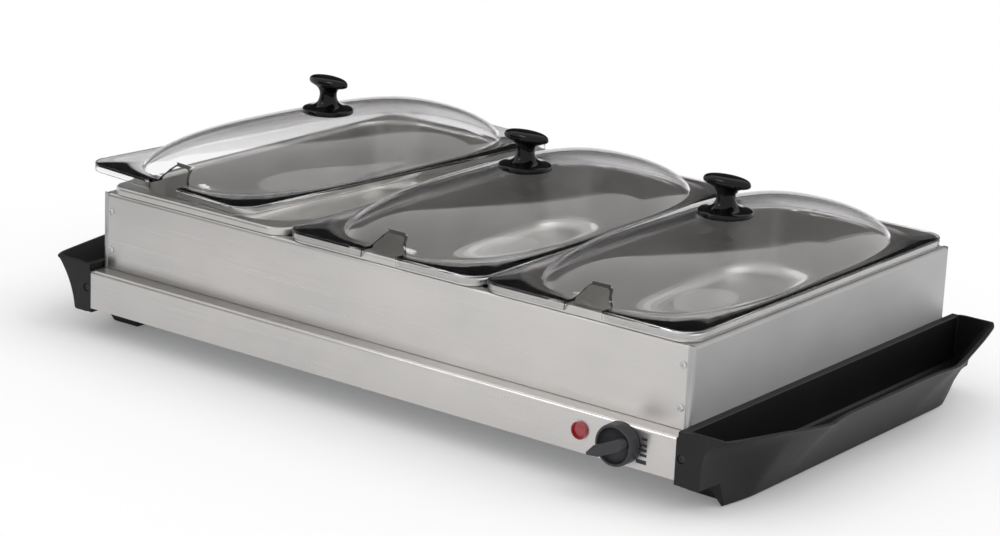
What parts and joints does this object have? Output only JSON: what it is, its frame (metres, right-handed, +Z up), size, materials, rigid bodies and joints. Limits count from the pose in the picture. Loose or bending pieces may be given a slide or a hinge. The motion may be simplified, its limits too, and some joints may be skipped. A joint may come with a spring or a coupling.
{
  "type": "electric bain-marie",
  "caption": "Electric buffet food warmer: steel tray base with end handles, knob and lamp, a lift-off frame with steel pans and clear domed lids",
  "frame": {"origin": "centre of the whole object's outline, on the table under it", "axes": "+X to the right, along the row of pans; +Y away from the control knob; +Z up"},
  "size_m": [0.6794, 0.4023, 0.1866],
  "materials": {
    "shell_steel": "brushed stainless steel, fine grain along the length",
    "frame_steel": "brushed stainless steel",
    "screw_steel": "zinc-plated steel",
    "inner_sheet": "plain galvanised sheet",
    "pan_steel": "satin stainless steel, deep drawn",
    "black_plastic": "black moulded plastic, fine grain",
    "black_screw": "black-coated steel",
    "black_rubber": "black rubber",
    "heater_foil": "aluminium foil over a heating film",
    "insulation": "glass-fibre mat",
    "thermostat_moulding": "heat-resistant moulding",
    "cutout_metal": "plain metal case",
    "lamp_moulding": "natural nylon",
    "lamp_red": "clear red lens",
    "block_moulding": "natural nylon",
    "wire_brown": "wire insulation",
    "wire_blue": "wire insulation",
    "wire_green": "wire insulation",
    "knob_grey": "dark grey moulded plastic",
    "knob_black": "glossy black moulded plastic",
    "clear_plastic": "clear moulded plastic"
  },
  "bodies": {
    "base": {"base_cover": "shell_steel", "bottom_plate": "inner_sheet", "bottom_screws": "screw_steel", "end_plate_left": "inner_sheet", "end_plate_right": "inner_sheet", "handle_left": "black_plastic", "handle_right": "black_plastic", "handle_screws": "black_screw", "mounting_screws": "screw_steel", "foot_pad_front_left": "black_rubber", "foot_pad_front_right": "black_rubber", "foot_pad_back_left": "black_rubber", "foot_pad_back_right": "black_rubber", "heater_left": "heater_foil", "heater_middle": "heater_foil", "heater_right": "heater_foil", "insulation_mat": "insulation", "reflector_tray": "inner_sheet", "tray_studs": "screw_steel", "tray_nuts": "screw_steel", "thermostat_body": "thermostat_moulding", "thermal_cutout": "cutout_metal", "lamp_body": "lamp_moulding", "lamp_lens": "lamp_red", "terminal_block": "block_moulding", "live_wire": "wire_brown", "neutral_wire": "wire_blue", "earth_wire": "wire_green", "cord_bushing": "black_rubber"},
    "control": {"control_knob": "knob_grey", "thermostat_shaft": "screw_steel"},
    "pan_frame": {"frame_front": "frame_steel", "frame_back": "frame_steel", "frame_left": "frame_steel", "frame_right": "frame_steel", "cross_bar_left": "inner_sheet", "cross_bar_right": "inner_sheet", "bracket_front_left": "inner_sheet", "bracket_front_right": "inner_sheet", "bracket_back_left": "inner_sheet", "bracket_back_right": "inner_sheet", "frame_screws_front": "screw_steel", "frame_screws_back": "screw_steel"},
    "left_pan": {"pan_left": "pan_steel"},
    "left_lid": {"lid_left": "clear_plastic", "lid_knob_left": "knob_black", "lid_screw_left": "screw_steel"},
    "middle_pan": {"pan_middle": "pan_steel"},
    "middle_lid": {"lid_middle": "clear_plastic", "lid_knob_middle": "knob_black", "lid_screw_middle": "screw_steel"},
    "right_pan": {"pan_right": "pan_steel"},
    "right_lid": {"lid_right": "clear_plastic", "lid_knob_right": "knob_black", "lid_screw_right": "screw_steel"}
  },
  "joints": [
    {"name": "control_turn", "type": "hinge", "parent": "base", "child": "control", "pos_m": [0.23, -0.18258, 0.0378], "axis": [0, 1, 0], "range_deg": [0, 230]},
    {"name": "frame_lift", "type": "slide", "parent": "base", "child": "pan_frame", "axis": [0, 0, 1], "range_m": [0, 0.1]},
    {"name": "left_pan_lift", "type": "slide", "parent": "pan_frame", "child": "left_pan", "axis": [0, 0, 1], "range_m": [0, 0.1]},
    {"name": "left_lid_lift", "type": "slide", "parent": "left_pan", "child": "left_lid", "axis": [0, 0, 1], "range_m": [0, 0.15]},
    {"name": "middle_pan_lift", "type": "slide", "parent": "pan_frame", "child": "middle_pan", "axis": [0, 0, 1], "range_m": [0, 0.1]},
    {"name": "middle_lid_lift", "type": "slide", "parent": "middle_pan", "child": "middle_lid", "axis": [0, 0, 1], "range_m": [0, 0.15]},
    {"name": "right_pan_lift", "type": "slide", "parent": "pan_frame", "child": "right_pan", "axis": [0, 0, 1], "range_m": [0, 0.1]},
    {"name": "right_lid_lift", "type": "slide", "parent": "right_pan", "child": "right_lid", "axis": [0, 0, 1], "range_m": [0, 0.15]}
  ]
}
